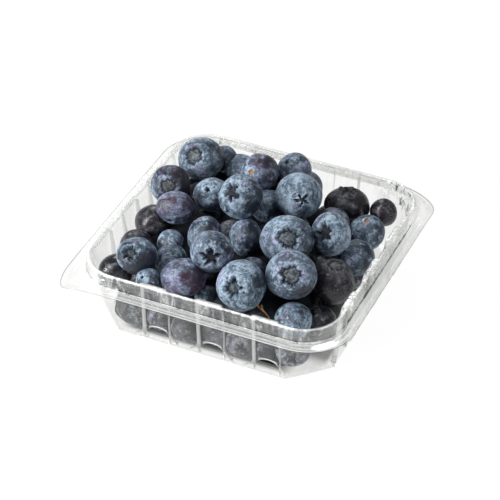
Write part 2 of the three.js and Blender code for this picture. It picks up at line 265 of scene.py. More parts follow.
FLOOR_GREY = ((0.045, 0.045, 0.045), (0.055, 0.055, 0.055))
FLOOR_GLOW = (0.955, 0.955, 0.955)
# painted shadow in the floor's glow, under the punnet and lighter under its corners
PAINTED_SHADOW_UNDER_TRAY = (0.09, 0.09, 0.09)
PAINTED_SHADOW_UNDER_CORNERS = (0.80, 0.80, 0.79)


# ---- small maths ------------------------------------------------------------------------------
def lerp(a, b, t):
    return a + (b - a) * t


def clamp(value, low=0.0, high=1.0):
    return max(low, min(high, value))


def smooth(value):
    value = clamp(value)
    return value * value * (3 - 2 * value)


class Random:
    """Park and Miller's generator, the same one that lays the rows of the solid heap."""

    def __init__(self, seed):
        self.state = seed

    def __call__(self, low=0.0, high=1.0):
        self.state = self.state * 16807 % 2147483647
        return lerp(low, high, self.state / 2147483647)


# ---- nodes ------------------------------------------------------------------------------------
class Socket:
    """A value in a shader, which can be used in arithmetic."""

    def __init__(self, shader, link):
        self.shader = shader
        self.link = link

    def _math(self, operation, *others):
        return self.shader.node("ShaderNodeMath", {"operation": operation}, [self, *others])

    def __add__(self, other):
        return self._math("ADD", other)

    def __mul__(self, other):
        return self._math("MULTIPLY", other)

    def __sub__(self, other):
        return self._math("SUBTRACT", other)

    def __rsub__(self, other):
        return self.shader.node("ShaderNodeMath", {"operation": "SUBTRACT"}, [other, self])

    def __pow__(self, other):
        return self._math("POWER", other)

    def __abs__(self):
        return self._math("ABSOLUTE")

    __radd__ = __add__
    __rmul__ = __mul__

    def between(self, low, high):
        """0 up to low, 1 from high and smooth in between; low may be the larger one."""
        values = {"Value": self, "From Min": low, "From Max": high}
        return self.shader.node("ShaderNodeMapRange", {"interpolation_type": "SMOOTHSTEP"}, values)

    def swing(self, weight):
        """A noise about its middle, so that it adds as much as it takes away."""
        return (self - 0.5) * weight

    def lines(self, width):
        """Thin lines where a noise crosses its middle."""
        return abs(self - 0.5).between(width, 0.0)

    def largest(self, other):
        return self._math("MAXIMUM", other)

    def smallest(self, other):
        return self._math("MINIMUM", other)


class Shader:
    """A material's node tree."""

    def __init__(self, name):
        self.material = bpy.data.materials.new(name)
        self.material.use_nodes = True
        self.tree = self.material.node_tree
        self.tree.nodes.clear()
        self.output = self.tree.nodes.new("ShaderNodeOutputMaterial")

    def node(self, kind, settings=None, values=(), out=0):
        node = self.tree.nodes.new(kind)
        for key, value in (settings or {}).items():
            setattr(node, key, value)
        pairs = values.items() if isinstance(values, dict) else enumerate(values)
        for key, value in pairs:
            if isinstance(value, Socket):
                self.tree.links.new(value.link, node.inputs[key])
            else:
                node.inputs[key].default_value = value
        return Socket(self, node.outputs[out])

    def attribute(self, name, out="Fac"):
        return self.node("ShaderNodeAttribute", {"attribute_name": name}, out=out)

    def place(self):
        return self.node("ShaderNodeTexCoord", out="Object")

    def facing(self):
        """0 where the surface is seen straight on, 1 where it is seen edge on."""
        return self.node("ShaderNodeLayerWeight", None, {"Blend": 0.5}, out="Facing")

    def axis(self, vector, number):
        return self.node("ShaderNodeSeparateXYZ", None, [vector], out=number)

    def stretched(self, place, scale):
        return self.node("ShaderNodeVectorMath", {"operation": "MULTIPLY"}, [place, scale])

    def noise(self, place, scale, detail=3.0, roughness=0.55, distortion=0.0):
        values = {"Vector": place, "Scale": scale, "Detail": detail, "Roughness": roughness,
                  "Distortion": distortion}
        return self.node("ShaderNodeTexNoise", None, values)

    def mix(self, factor, a, b):
        """Mixes two colours."""
        node = self.tree.nodes.new("ShaderNodeMix")
        node.data_type = "RGBA"
        for socket, value in ((node.inputs[0], factor), (node.inputs[6], a), (node.inputs[7], b)):
            if isinstance(value, Socket):
                self.tree.links.new(value.link, socket)
            elif socket.type == "RGBA":
                socket.default_value = (*value, 1)
            else:
                socket.default_value = value
        return Socket(self, node.outputs[2])

    def bump(self, height, distance, strength=1.0):
        values = {"Height": height, "Distance": distance, "Strength": strength}
        return self.node("ShaderNodeBump", None, values)

    def finish(self, surface):
        self.tree.links.new(surface.link, self.output.inputs["Surface"])
        return self.material


def plastic_material():
    """Clear thermoformed sheet: glossy and tinted where it is seen edge on. By its bends and
    painted light it has painted shade (under 0), is clear (0), milky (up to 1) or a glowing
    painted highlight (over 1)."""
    sh = Shader("clear_sheet")
    facing = sh.facing()
    place = sh.place()
    # noise for painted streaks of shade and highlight, which stand for reflections in crinkled
    # sheet
    crinkles = sh.noise(sh.stretched(place, (1, 1, 0.3)), 380, 3, 0.6, 0.8)
    # the attribute below holds real bends and painted light; under 0 it tints the sheet with
    # painted shade
    bend_and_painted_light = sh.attribute("crease_and_painted_light") + (crinkles - 0.5) * sh.attribute("crinkle_painted_streaks")
    seen_edge_on = sh.mix(facing ** 3.0, CLEAR_TINT, EDGE_ON_TINT)
    tint = sh.mix(bend_and_painted_light.between(-0.15, -1.0), seen_edge_on, PAINTED_SHADE_TINT)
    clear = sh.node("ShaderNodeBsdfTransparent", None, {"Color": tint})
    waves = sh.noise(place, 60, 2)
    gloss = sh.node("ShaderNodeBsdfGlossy", None, {
        "Color": (1, 1, 1, 1), "Roughness": 0.06, "Normal": sh.bump(waves, 0.0003)})
    sheet = sh.node("ShaderNodeMixShader", None, [facing ** 5.0 * 0.85 + 0.025, clear, gloss])
    facing_light = sh.node("ShaderNodeBsdfDiffuse", None, {"Color": (*MILKY, 1)})
    shining_through = sh.node("ShaderNodeBsdfTranslucent", None, {"Color": (*MILKY, 1)})
    milky = sh.node("ShaderNodeMixShader", None, [0.5, facing_light, shining_through])
    # painted highlight: a white sheet that glows though it is no lamp
    edge = sh.node("ShaderNodeBsdfPrincipled", None, {
        "Base Color": (0.9, 0.9, 0.9, 1), "Roughness": 0.3,
        "Emission Color": (1, 1, 1, 1), "Emission Strength": 0.45})
    clouds = sh.noise(place, 80, 3).between(0.3, 0.7)
    veil = bend_and_painted_light.between(0.0, 1.0) * 0.62 + clouds * 0.05 + 0.01
    veiled = sh.node("ShaderNodeMixShader", None, [veil, sheet, milky])
    # where the painted highlight glows
    edges = bend_and_painted_light.between(1.05, 1.6) * 0.95
    return sh.finish(sh.node("ShaderNodeMixShader", None, [edges, veiled, edge]))


def berry_material(name, skin, plum_skin, bloom, pale_bloom, plum_bloom, bare_roughness,
                   unevenness):
    """Waxy berry skin: dark underneath, with a bloom that is rubbed off in patches, scratches and
    dots; its crowns have dark grooves and grey floors, its stem scars are orange brown."""
    sh = Shader(name)
    place = sh.attribute("on_berry", "Vector")
    areas = sh.noise(place, 95, 2)
    patches = sh.noise(sh.stretched(place, (1, 1, 0.55)), 230, 3, 0.6, 1.4)
    mottles = sh.noise(sh.stretched(place, (0.6, 1, 1)), 400, 4, 0.55, 0.9)
    specks = sh.noise(place, 1000, 2)
    contour = sh.noise(sh.stretched(place, (1, 0.45, 1)), 330, 3, 0.55, 1.2)
    scratches = contour.lines(0.025)
    pale_lines = sh.noise(sh.stretched(place, (0.5, 1, 1)), 240, 2, 0.5, 1.2).lines(0.02)
    # painted sheen: paler bloom where the skin is seen edge on, partly real bloom at a grazing
    # view and partly painted rim light
    painted_rim_sheen = sh.facing() ** 4.0

    cells = {"Vector": place, "Scale": 300.0}
    dots = sh.node("ShaderNodeTexVoronoi", None, cells).between(0.16, 0.08)
    cell_colour = sh.node("ShaderNodeTexVoronoi", None, cells, out="Color")
    few = sh.node("ShaderNodeSeparateColor", None, [cell_colour]).between(0.6, 0.66)

    # the bloom attribute is already thinned on one side of each berry as painted shade
    wax = (sh.attribute("bloom") + areas.swing(3.1) + patches.swing(3.1) + mottles.swing(1.6)
           + specks.swing(1.0) - scratches * 0.9 + sh.attribute("edge") * 0.7 + painted_rim_sheen * 0.5
           - dots * few * 1.6)
    cover = wax.between(-0.35, 0.95)
    thick = (wax * 0.7 + mottles.swing(2.8) + specks.swing(1.5) + pale_lines * 0.5
             - scratches * 0.8 + painted_rim_sheen * 0.3).between(0.3, 1.5)
    plum = sh.attribute("plum") * (areas * 0.5 + contour * 0.5).between(0.38, 0.56)
    violet = sh.noise(place, 150, 2).between(0.48, 0.68)

    bare = sh.mix(plum, skin, plum_skin)
    thin_bloom = sh.mix(plum, sh.mix(violet * 0.5, bloom, plum_bloom), plum_bloom)
    thick_bloom = sh.mix(violet * 0.6, pale_bloom, VIOLET_BLOOM)
    waxed = sh.mix(thick * (1 - plum * 0.55), thin_bloom, thick_bloom)
    colour = sh.mix(cover, bare, waxed)
    floor_grain = (specks * 0.5 + mottles * 0.5).between(0.4, 0.62)
    colour = sh.mix(sh.attribute("disc"), colour, sh.mix(floor_grain, *CROWN_FLOOR))
    # painted shade in the crown's crater, together with the dark calyx
    colour = sh.mix(sh.attribute("groove"), colour, CROWN_GROOVE_AND_SHADE)
    colour = sh.mix(sh.attribute("scar"), colour, STEM_SCAR)
    relief = patches * 0.35 + mottles * 0.6 + specks * 0.3
    return sh.finish(sh.node("ShaderNodeBsdfPrincipled", None, {
        "Base Color": colour,
        "Roughness": cover * 0.3 + bare_roughness + sh.attribute("groove") * 0.5,
        "Normal": sh.bump(relief, 0.0005, unevenness),
    }))


def stalk_material():
    """Dry brown stalk with darker speckles."""
    sh = Shader("dry_stalk")
    grain = sh.noise(sh.place(), 800, 4)
    return sh.finish(sh.node("ShaderNodeBsdfPrincipled", None, {
        "Base Color": sh.mix(grain.between(0.35, 0.65), *DRY_STALK),
        "Roughness": 0.6,
        "Normal": sh.bump(grain, 0.0002, 0.5),
    }))


def shade_material():
    """Painted shade for the depth of the heap: black from above, and low down behind the sheet
    soft rounds painted lighter in the middle, that stand for berries in shade."""
    sh = Shader("deep_shade")
    place = sh.place()
    rounds = sh.node("ShaderNodeTexVoronoi", None, {"Vector": place, "Scale": 72.0})
    low = sh.axis(place, 2).between(0.0195, 0.0165)
    blotches = sh.noise(place, 260, 3).between(0.2, 0.8) * 0.6 + 0.4
    painted_lit_rounds = rounds.between(0.62, 0.25) * low * blotches
    return sh.finish(sh.node("ShaderNodeBsdfPrincipled", None, {
        "Base Color": sh.mix(painted_lit_rounds, *DEEP_SHADE),
        "Roughness": 0.7,
        "Specular IOR Level": 0.1,
        "Normal": sh.bump(1 - rounds * rounds, 0.006),
    }))


def floor_material():
    """A pale floor that glows a little, with a painted shadow under the punnet: less glow under
    its corners and hardly any under the rest of it."""
    sh = Shader("pale_floor")
    grain = sh.noise(sh.place(), 30, 2)
    away = sh.node("ShaderNodeVectorMath", {"operation": "ABSOLUTE"}, [sh.place()])
    far, deep = sh.axis(away, 0), sh.axis(away, 1)
    octagon = far.largest(deep).largest(far + deep - (BASE_HALF - BASE_CORNER) * MM)
    corner = far.smallest(deep)
    painted_shadow = sh.mix(corner.between(0.03, 0.037), PAINTED_SHADOW_UNDER_TRAY, PAINTED_SHADOW_UNDER_CORNERS)
    glow = sh.mix(octagon.between(0.0445, 0.0472), painted_shadow, FLOOR_GLOW)
    return sh.finish(sh.node("ShaderNodeBsdfPrincipled", None, {
        "Base Color": sh.mix(grain, *FLOOR_GREY),
        "Roughness": 0.9,
        "Emission Color": glow,
        "Emission Strength": 1.0,
    }))


# ---- outline of the tray ----------------------------------------------------------------------
def wall_point(wall, s, out, z):
    """A point in the frame of a wall: s along it, anticlockwise, and out outwards. Wall 0 is the
    front one, wall 1 the right one."""
    turn = wall * math.pi / 2
    x = s * math.cos(turn) + out * math.sin(turn)
    y = s * math.sin(turn) - out * math.cos(turn)
    return Vector((x, y, z))


def recess_starts(wall):
    starts = [FLUTE_START + i * FLUTE_PITCH for i in range(FLUTE_COUNT)]
    if wall % 2:
        starts = [-(start + RECESS_WIDTH) for start in starts]
    return sorted(starts)


def recess_depth(z):
    t = clamp((z - RECESS_TAPER_Z) / (TRAY_HEIGHT - RECESS_TAPER_Z))
    return lerp(RECESS_DEPTH, RECESS_DEPTH_AT_RIM, t)


def coarse_stations(wall):
    """Where the solid's outline has a point along a wall, and whether it is in a recess."""
    stations = []
    for start in recess_starts(wall):
        end = start + RECESS_WIDTH
        stations += [(start, 0), (start + RECESS_STEP, 1), (end - RECESS_STEP, 1), (end, 0)]
    return stations


def inner_outline(z):
    """The outline of the space inside the walls at a height, as the solid has it."""
    t = z / TRAY_HEIGHT
    half = lerp(BASE_HALF, TOP_HALF, t) - SHEET
    corner = lerp(BASE_CORNER, TOP_CORNER, t)
    swell = t ** CORNER_SWELL
    points = []
    for wall in range(4):
        for s, recess in coarse_stations(wall):
            points.append(wall_point(wall, s, half - recess * recess_depth(z), 0))
        for i in range(SOLID_CORNER_STEPS + 1):
            points.append(corner_point(wall, i / SOLID_CORNER_STEPS, half, corner, 0, swell, 1))
    return points


def corner_point(wall, t, half, corner, z, swell, squareness):
    """A point at a share t of the corner after a wall: chamfered at a swell of 0, round at 1 and,
    with a squareness under 1, nearly square."""
    turn = t * math.pi / 2
    along = lerp(t, math.sin(turn) ** squareness, swell)
    out = lerp(1 - t, math.cos(turn) ** squareness, swell)
    return wall_point(wall, half - corner * (1 - along), half - corner * (1 - out), z)


# ---- tray -------------------------------------------------------------------------------------
# distances from a step between recess and panel where the sheet has points
RECESS_STATIONS = (0, 0.35, 0.7, 1, 1.45, 2.3, 3.5, 4.7, 5.75)
PANEL_STATIONS = (0.4, 0.9, 1.7, 2.6, 3.6, 5.9)
WALL_REACH = 34.4
NEAREST_STATIONS = 0.2  # points along a wall that are nearer to each other than this are one
CORNER_POINTS = 20

# levels of the sheet's lower face: heights on the walls, then half width and height
BASE_EDGE_TURNS = (0.0, 0.25, 0.5, 0.75, 1.0)
WALL_LEVELS = (1.9, 2.6, 3.2, 3.7, 4.2, 4.8, 5.3, VENT_TOP, VENT_TOP + 0.25, VENT_TOP + 0.5,
               7, 8.5, 12, 16, 20, 23, 25.5, 27, 27.6)
TOP_LEVELS = ((28.0, 0.12), (28.22, 0.4))  # height and how far it leans out
RIM_LEVELS = ((52.9, 28.25), (53.15, 28.1), (53.35, 27.8), (53.4, 27.3), (53.4, 26.9),
              (53.1, 26.5), (52.95, 26.2), (53.1, 25.9), (53.4, 25.5), (53.45, 24.6),
              (53.5, 23.9), (53.65, 23.45), (53.95, 23.15))
FLANGE_LEVELS = ((54.6, 23.05), (55.0, 23.02), (55.3, 23.14), (55.6, 23.14), (55.9, 23.02),
                 (57.0, 23.02), (57.3, 23.14), (57.6, 23.02), (58.2, 23.02), (58.45, 22.97),
                 (58.55, 22.75))
FLOOR_INSET = 2.6  # from the edge of the base to the flat middle of the floor
FLOOR_RINGS = (1, 0.85, 0.6, 0.3)  # rings of the flat middle, as shares of its outline

# how each bend and painted light shows: milky over 0, a glowing painted highlight over 1, painted
# shade under 0
# the lip and the gutter on the right are painted shade; the oval on the flange and the vent arches
# are painted highlights, and the recess sides are milky with a little painted highlight in their
# middle
BENDS_AND_PAINTED_LIGHT = dict(
    lip=-0.7, painted_glint=1.7, flange=0.3, flange_line=0.95, right_flange=0.62, tab_edge=0.3,
    tab_middle=0.06, rim=0.1, right_gutter_painted_shade=-1.1, floor=0.05, shoulder=0.5, neck=0.1, corner=0.1,
    recess_side=1.25, vent_edge_painted_highlight=1.45, wall=0.04)
LIP_HALF = 58.5
FLANGE_LINES = (55.3, 57.3, 58.45)
GUTTER_HALF = 53.95
# lines of the rim by half width: at 52.9 a glowing painted highlight, at 53.65 painted shade, the
# others milky
RIM_LINES_AND_PAINTED_LIGHT = {52.9: 1.6, 53.15: 0.7, 53.65: -0.7, GUTTER_HALF: 0.9}
RIM_LINES_END = 0.15  # where the rim's strong lines, with the painted highlight along its top, end, as a share of the front right corner
AWAY_FROM_FRONT = 0.6  # how strong the rim's lines are from there round to the left wall
SHOULDER_Z = 28.1
NECK_Z = 27.5

# the oval of light on the flange: middle and reach, as a share of the corner and as half widths
GLINT_SHARE, GLINT_SHARE_REACH = 0.52, 0.2
GLINT_HALF, GLINT_HALF_REACH = 56.6, 1.5

# how strong the painted streaks of shade and highlight are, which stand for reflections in
# crinkled sheet
CRINKLED_FLAT = 0.1
CRINKLED_RIM = 3.0
CRINKLED_WALL = 0.5
CRINKLED_RIGHT = 7.0
CRINKLED_FROM_Z, CRINKLED_RISE = 14, 10


def wall_stations(wall):
    """Points along a wall: dense at the steps of the recesses and at the corners of the panels."""
    stations = set()
    for start in recess_starts(wall):
        for offset in RECESS_STATIONS:
            stations |= {start + offset, start + RECESS_WIDTH - offset}
        for offset in PANEL_STATIONS:
            stations |= {start - offset, start + RECESS_WIDTH + offset}
    merged = []
    for s in sorted(stations):
        if abs(s) < WALL_REACH and (not merged or s - merged[-1] > NEAREST_STATIONS):
            merged.append(s)
    return merged


def recess_share(wall, s, z):
    """1 in a recess, 0 on a panel; the foot of a panel has round corners."""
    share = 0.0
    down = PANEL_FOOT_Z + PANEL_FOOT_RADIUS - z
    for start in recess_starts(wall):
        end = start + RECESS_WIDTH
        share = max(share, smooth(min(s - start, end - s) / RECESS_STEP))
        for into_panel in (start - s, s - end):
            if -0.01 < into_panel < PANEL_FOOT_RADIUS and down > 0:
                outside = math.hypot(PANEL_FOOT_RADIUS - into_panel, down) - PANEL_FOOT_RADIUS
                if outside > -PANEL_FOOT_SOFTNESS:
                    share = max(share, smooth(outside / RECESS_STEP + PANEL_FOOT_SOFTNESS))
    return share


def sheet_levels():
    """Levels of the sheet's lower face, from the floor's edge over the rim to the flange's lip."""
    levels = []
    for t in BASE_EDGE_TURNS:
        turn = t * math.pi / 2
        z, pull = BASE_EDGE * (1 - math.cos(turn)), BASE_EDGE * (1 - math.sin(turn))
        levels.append(dict(z=z, pull=pull, kind="wall"))
    levels += [dict(z=z, pull=0, kind="wall") for z in WALL_LEVELS]
    levels += [dict(z=z, pull=-lean, kind="wall") for z, lean in TOP_LEVELS]
    levels += [dict(z=z, half=half, kind="rim") for half, z in RIM_LEVELS]
    levels += [dict(z=z, half=half, kind="flange") for half, z in FLANGE_LEVELS]
    return levels


def level_point(level, wall, s=None, t=None):
    """A point of a level: at s along a wall, or at a share t of the corner after that wall."""
    kind, z = level["kind"], level["z"]
    if kind == "wall":
        height = z / TRAY_HEIGHT
        share, inset = level.get("share", 1), FLOOR_INSET if "share" in level else 0
        half = lerp(BASE_HALF, TOP_HALF, height) - level["pull"]
        reach = min(1, half / BASE_HALF) * share
        half = (half - inset) * share
        corner = (lerp(BASE_CORNER, TOP_CORNER, height) - inset) * share
        swell = height ** CORNER_SWELL
    else:
        half = level["half"]
        corner = half + (RIM_CORNER - RIM_HALF if kind == "rim" else FLANGE_CORNER - FLANGE_HALF)
        swell = reach = 1
    if s is not None:
        fade = smooth(z / BASE_EDGE) if kind == "wall" else 0
        dip = recess_share(wall, s, z) * recess_depth(z) * fade
        return wall_point(wall, s * reach, half - dip, z)
    tab = kind == "flange" and wall in TAB_SQUARENESS
    edge = clamp((half - RIM_HALF) / (FLANGE_HALF - RIM_HALF))
    droop = TAB_DROOP * math.sin(math.pi * t) * smooth(edge * TAB_DROOP_RISE) if tab else 0
    squareness = TAB_SQUARENESS[wall] if tab else 1
    return corner_point(wall, t, half, corner, z - droop, swell, squareness)


def tray_stations():
    """Every place round the tray where a level has a point: a wall and s, or a wall and t."""
    places = []
    for wall in range(4):
        places += [dict(wall=wall, s=s) for s in wall_stations(wall)]
        places += [dict(wall=wall, t=i / CORNER_POINTS) for i in range(CORNER_POINTS + 1)]
    return places


def vent_distance(wall, s):
    """How far a place along a wall is from the middle of the nearest vent."""
    return min(abs(s - start - RECESS_WIDTH / 2) for start in recess_starts(wall))


def cut_vents(bm, row, levels):
    """Opens the slot at the foot of every recess, under an arched edge."""
    low = next(i for i, level in enumerate(levels) if level["z"] > VENT_BOTTOM)
    high = next(i for i, level in enumerate(levels) if level["z"] == VENT_TOP)
    holes = []
    for face in bm.faces:
        rows = [vert[row] for vert in face.verts]
        if min(rows) < low or max(rows) > high or len(face.verts) > 4:
            continue
        centre = face.calc_center_median() / MM
        for wall in range(4):
            along, outwards = wall_point(wall, 1, 0, 0), wall_point(wall, 0, 1, 0)
            on_wall = centre.dot(outwards) >= BASE_HALF - RECESS_DEPTH * 2
            if on_wall and vent_distance(wall, centre.dot(along)) < VENT_HALF:
                holes.append(face)
    bmesh.ops.delete(bm, geom=holes, context="FACES")


def crease_and_painted_light(level, wall, s=None, t=None):
    """How a bend shows at a place of a level, with painted shade and painted highlights among
    them.
    """
    half, z, at_corner = level.get("half"), level["z"], t is not None
    if level["kind"] == "flange":
        if half > LIP_HALF:
            return BENDS_AND_PAINTED_LIGHT["lip"]
        if painted_glint(level, wall, t):
            return BENDS_AND_PAINTED_LIGHT["painted_glint"]
        if wall == 1 and not at_corner:
            return BENDS_AND_PAINTED_LIGHT["right_flange"]
        if wall in TAB_SQUARENESS and at_corner:
            return lerp(BENDS_AND_PAINTED_LIGHT["tab_edge"], BENDS_AND_PAINTED_LIGHT["tab_middle"], smooth(6 * t * (1 - t)))
        return BENDS_AND_PAINTED_LIGHT["flange_line" if half in FLANGE_LINES else "flange"]
    if level["kind"] == "rim":
        if wall == 1 and not at_corner and half == GUTTER_HALF:
            return BENDS_AND_PAINTED_LIGHT["right_gutter_painted_shade"]
        front = (wall == 0 and (t or 0) < RIM_LINES_END) or (wall == 3 and at_corner)
        return RIM_LINES_AND_PAINTED_LIGHT.get(half, BENDS_AND_PAINTED_LIGHT["rim"]) * (1 if front else AWAY_FROM_FRONT)
    if "share" in level:
        return BENDS_AND_PAINTED_LIGHT["floor"]
    if z > NECK_Z:
        return BENDS_AND_PAINTED_LIGHT["shoulder" if z > SHOULDER_Z else "neck"]
    if at_corner:
        return BENDS_AND_PAINTED_LIGHT["corner"]
    if z == VENT_TOP and vent_distance(wall, s) < VENT_HALF:
        return BENDS_AND_PAINTED_LIGHT["vent_edge_painted_highlight"]
    share = recess_share(wall, s, z)
    return max(BENDS_AND_PAINTED_LIGHT["recess_side"] * 4 * share * (1 - share), BENDS_AND_PAINTED_LIGHT["wall"])


def painted_glint(level, wall, t):
    """Whether a place is in the oval of light at the front right corner of the flange."""
    if wall != 0 or t is None:
        return False
    across = (t - GLINT_SHARE) / GLINT_SHARE_REACH
    out = (level["half"] - GLINT_HALF) / GLINT_HALF_REACH
    return across ** 2 + out ** 2 < 1


def crinkle_painted_streaks(level, wall):
    """How strong the painted streaks of shade and highlight for an uneven sheet are: most at the
    top of the right wall, least on the flange.
    """
    if level["kind"] == "flange" or "share" in level:
        return CRINKLED_FLAT
    if level["kind"] == "rim":
        return CRINKLED_RIM
    if wall == 1:
        return CRINKLED_RIGHT * smooth((level["z"] - CRINKLED_FROM_Z) / CRINKLED_RISE)
    return CRINKLED_WALL


def arch(level, wall, s):
    """How far the upper edge of a vent comes down towards its ends."""
    if level["kind"] != "wall" or not ARCH_FOOT_Z < level["z"] <= VENT_TOP or s is None:
        return 0
    share = vent_distance(wall, s) / VENT_HALF
    if share > VENT_OVERLAP:
        return 0
    drop = 1 - math.sqrt(max(0, 1 - share * share))
    return drop * ARCH_DROP * (level["z"] - ARCH_FOOT_Z) / (VENT_TOP - ARCH_FOOT_Z)


def build_tray():
    """The sheet: one ring of points for each level, pulled up from the middle of the floor."""
    levels = sheet_levels()
    floor = [{**levels[0], "share": share} for share in sorted(FLOOR_RINGS)]
    places = tray_stations()
    bm = bmesh.new()
    station = bm.verts.layers.int.new("station")
    row = bm.verts.layers.int.new("row")
    # this layer holds the sheet's bends together with painted shade and painted highlights
    bend = bm.verts.layers.float.new("crease_and_painted_light")
    uneven = bm.verts.layers.float.new("crinkle_painted_streaks")
    bmesh.ops.create_circle(bm, cap_ends=True, cap_tris=True, radius=1, segments=len(places))
    ring = [vert for vert in bm.verts if vert.is_boundary]
    for i, vert in enumerate(ring):
        vert[station] = i
    for i, level in enumerate(floor + levels):
        if i:
            edges = [edge for edge in bm.edges if edge.is_boundary]
            made = bmesh.ops.extrude_edge_only(bm, edges=edges)["geom"]
            ring = [element for element in made if isinstance(element, bmesh.types.BMVert)]
        for vert in ring:
            place = places[vert[station]]
            point = level_point(level, **place)
            point.z -= arch(level, place["wall"], place.get("s"))
            vert.co = point * MM
            vert[row] = i - len(floor)
            vert[bend] = crease_and_painted_light(level, **place)
            vert[uneven] = crinkle_painted_streaks(level, place["wall"])
    cut_vents(bm, row, levels)
    bmesh.ops.recalc_face_normals(bm, faces=bm.faces)
    middle = min(bm.faces, key=lambda face: face.calc_center_median().length)
    if middle.normal.z > 0:
        bmesh.ops.reverse_faces(bm, faces=bm.faces)
    tray = piece("clear_tray", bm, plastic_material())
    sheet = tray.modifiers.new("sheet", "SOLIDIFY")
    sheet.thickness = SHELL * MM
    sheet.offset = -1
    return tray


# ---- berries ----------------------------------------------------------------------------------
def keep_inside(x, y, z, radius):
    """Moves a berry in from the walls and corners that it would touch."""
    place = Vector((x, y, 0))
    outline = inner_outline(min(z, TRAY_HEIGHT))
    for i, start in enumerate(outline):
        side = outline[(i + 1) % len(outline)] - start
        share = clamp((place - start).dot(side) / side.length_squared)
        away = start + side * share - place
        push = max(0, radius + FIT_GAP - away.length)
        place -= away.normalized() * push
    return (place.x, place.y, z, radius)


def is_clear(berry, berries):
    centre = Vector(berry[:3])
    return all((centre - Vector(other[:3])).length > (berry[3] + other[3]) * CONTACT
               for other in berries)


def on_floor(radius):
    return SHEET + FIT_GAP + radius


def lay_row(berries, random, wall, z, off, radii):
    """Marches along a wall and lays a berry wherever one fits."""
    radius = random(*radii)
    for i in range(int(2 * ROW_REACH / ROW_MARCH)):
        place = wall_point(wall, i * ROW_MARCH - ROW_REACH, BASE_HALF - radius - off,
                           z or on_floor(radius))
        berry = keep_inside(*place, radius)
        if is_clear(berry, berries):
            berries.append(berry)
            radius = random(*radii)


def lay_fill(berries, random, z, radii, reach, march):
    """Marches over the whole punnet at one height and lays a berry wherever one fits."""
    radius = random(*radii)
    for x in range(-reach, reach + 1, march):
        for y in range(-reach, reach + 1, march):
            berry = keep_inside(x, y, z, radius)
            if is_clear(berry, berries):
                berries.append(berry)
                radius = random(*radii)


def heap_berries():
    """All berries as dicts: place, radius, looks, how oval and on which side bloom is taken away
    as painted shade.
    """
    random = Random(SEED)
    listed = [*TOP_BERRIES, *LOWER_BERRIES]
    berries = [keep_inside(x, y, z or on_floor(radius), radius) for x, y, z, radius, *_ in listed]
    for row in ROWS:
        lay_row(berries, random, **row)
    lay_fill(berries, random, **FILL)
    looks = [look[4:] for look in listed]
    for _ in berries[len(listed):]:
        looks.append((random(*HIDDEN_BLOOM), random(*HIDDEN_PLUM), "none", 0, 0))
    return [dict(at=Vector(berry[:3]), radius=berry[3], look=look, oval=OVALS.get(i, (1, 1)),
                 painted_shade=PAINTED_SHADE_SIDES.get(i, PAINTED_SHADE_ELSEWHERE))
            for i, (berry, look) in enumerate(zip(berries, looks))]


def camera_axes():
    """The directions to the right, up and back, as the camera stands."""
    flat = math.cos(CAMERA_ELEVATION)
    back = Vector((math.sin(CAMERA_AZIMUTH) * flat, -math.cos(CAMERA_AZIMUTH) * flat,
                   math.sin(CAMERA_ELEVATION)))
    level = Vector((math.cos(CAMERA_AZIMUTH), math.sin(CAMERA_AZIMUTH), 0))
    turn = Matrix.Rotation(CAMERA_ROLL, 3, back)
    return turn @ level, turn @ back.cross(level), back


def seen_direction(right, up):
    """The direction that the camera sees at right and up of a ball's middle, in radii."""
    side, over, back = camera_axes()
    return side * right + over * up + back * math.sqrt(max(0, 1 - right * right - up * up))


def peak(theta, at, width):
    """1 at an angle from the crown's middle and fading out on both sides of it."""
    return math.exp(-((theta - at) / width) ** 2)


def crown_shape(theta, phi, style, seed):
    """Height over the ball near the crown, in radii, and the shares of its groove, its pale floor
    and the waxy edge round it. theta is the angle from its middle, phi the turn round it."""
    size, depth, sepals, star, pale, knob = CROWNS[style]
    ragged = noise.noise(Vector((1.6 * math.cos(phi), 1.6 * math.sin(phi), seed)))
    fine = noise.noise(Vector((4 * math.cos(phi), 4 * math.sin(phi), seed)))
    lobe = 0.5 + 0.5 * math.cos(5 * phi + 2 * ragged)
    star_shape = lerp(0.42, 1.25, (1 - lobe) ** 1.5)
    opening = size * (lerp(1, star_shape, star) + 0.3 * ragged + 0.35 * fine)
    fold_at = size * (1 + 0.3 * ragged)

    crater = smooth((opening * 1.08 - theta) / (opening * 0.2))
    disc = smooth((opening * 0.84 - theta) / (opening * 0.16)) * pale
    edge = peak(theta, opening * 1.35, 0.11)
    outer_ring = 0.55 * pale * peak(theta, fold_at + size * 0.62, 0.05) * smooth(fine * 3 + 0.7)
    inner_ring = (0.9 * pale * peak(theta, opening * (0.45 + 0.2 * fine), 0.04)
                  * smooth(ragged * 2 + 0.8))

    height = (sepals * peak(theta, opening * 1.2, 0.07) * (0.3 + 0.7 * lobe) * (1 + 0.8 * fine)
              + 0.02 * peak(theta, fold_at + size * 0.75, 0.09)
              - 0.03 * peak(theta, 0, size * 1.9)
              - crater * depth * (1 - 0.45 * disc)
              - 0.02 * inner_ring
              + knob * peak(theta, 0, 0.07))
    return height, max(crater - disc, outer_ring, inner_ring), disc, edge


def crown_axis(look, random):
    """Where the crown points and what it is like; a crown that isn't seen points away."""
    style, right, up = look[2:]
    if style != "none":
        return seen_direction(right, up), style
    axis = Vector((random(-1, 1), random(-1, 1), random(-1.2, 0.2))).normalized()
    return (-axis if axis.dot(seen_direction(0, 0)) > 0 else axis), ("pit", "open")[random() < 0.5]


